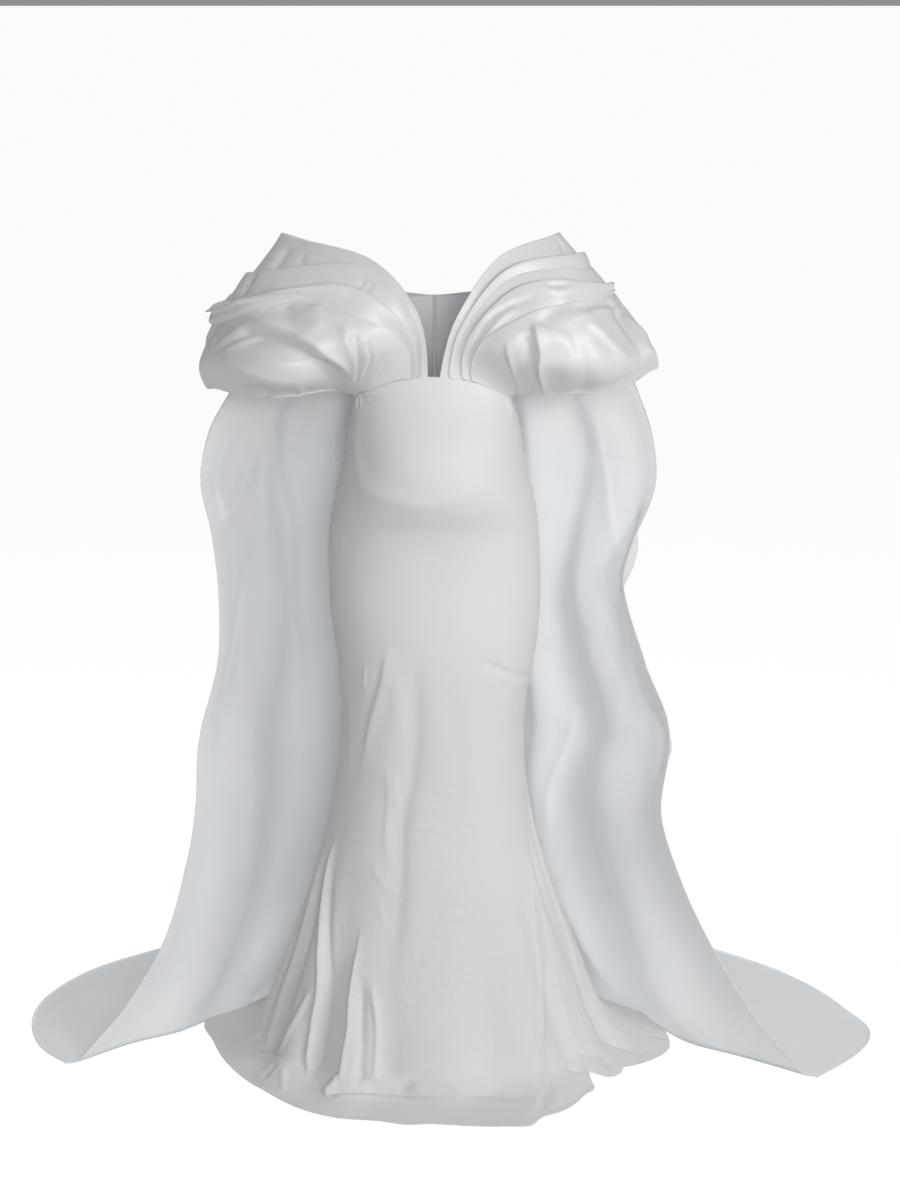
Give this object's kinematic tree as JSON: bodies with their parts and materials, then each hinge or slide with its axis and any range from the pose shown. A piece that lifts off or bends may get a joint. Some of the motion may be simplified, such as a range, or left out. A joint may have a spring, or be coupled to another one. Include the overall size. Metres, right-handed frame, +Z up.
{
  "type": "maternity wedding dress",
  "caption": "Off-shoulder maternity gown, a fitted flared crepe skirt under a V of pleated organza sleeves, with an organza cape that ends in a train.",
  "frame": {"origin": "middle of the wearer's body at the empire seam under the bust, 1.300 m above the floor, where the wearer holds the dress up", "axes": "+Z up, -Y the way that the wearer faces, +X across the body towards the wearer's left hand"},
  "size_m": [1.652, 1.1494, 1.5657],
  "materials": {
    "ivory_crepe": "matte stretch crepe",
    "satin_organza": "satin organza with a soft sheen"
  },
  "bodies": {
    "root": {"skirt_front": "ivory_crepe", "skirt_back_left": "ivory_crepe", "skirt_back_right": "ivory_crepe", "sleeve_left": "satin_organza", "sleeve_right": "satin_organza", "bodice_back_left": "satin_organza", "bodice_back_right": "satin_organza", "cape_left": "satin_organza", "cape_right": "satin_organza"}
  },
  "joints": []
}
